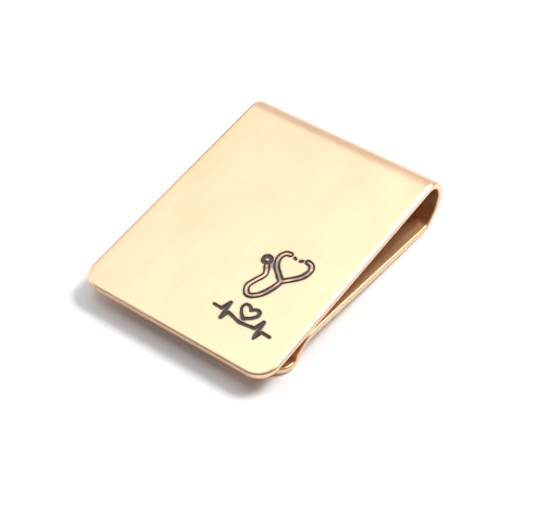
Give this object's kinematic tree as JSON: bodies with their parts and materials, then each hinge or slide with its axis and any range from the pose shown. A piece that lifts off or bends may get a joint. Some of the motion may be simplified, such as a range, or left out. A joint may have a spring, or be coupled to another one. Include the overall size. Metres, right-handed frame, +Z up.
{
  "type": "money clip",
  "caption": "Spring money clip bent from one strip of brushed gold-coloured sheet metal, with a flat front plate, a C-bend, a ridged back leg and small blackened stamps.",
  "frame": {"origin": "bottom centre of the box of the clip as it lies on a table, on its elbow and its entry lip", "axes": "+X across the clip's width, +Y from the front plate's free edge towards the spring bend, +Z up"},
  "size_m": [0.0382, 0.0522, 0.0104],
  "materials": {
    "brass": "fine satin brushed along the plate, polished edges",
    "patina": "matt black oxide in the stamped grooves"
  },
  "bodies": {
    "back_leg_body": {"spring_bend_lower": "brass", "elbow": "brass", "back_leg": "brass", "grip_ridge": "brass", "entry_lip": "brass"},
    "front_plate_body": {"front_plate": "brass", "spring_bend_upper": "brass", "stethoscope_tube_patina": "patina", "stethoscope_chest_piece_patina": "patina", "right_ear_tip_patina": "patina", "left_ear_tip_patina": "patina", "heartbeat_trace_patina": "patina", "heart_patina": "patina"}
  },
  "joints": [
    {"name": "spring_opening", "type": "hinge", "parent": "back_leg_body", "child": "front_plate_body", "pos_m": [0, 0.02503, 0.00744], "axis": [-1, 0, 0], "range_deg": [0, 8], "stiffness_Nm_per_rad": 16}
  ]
}
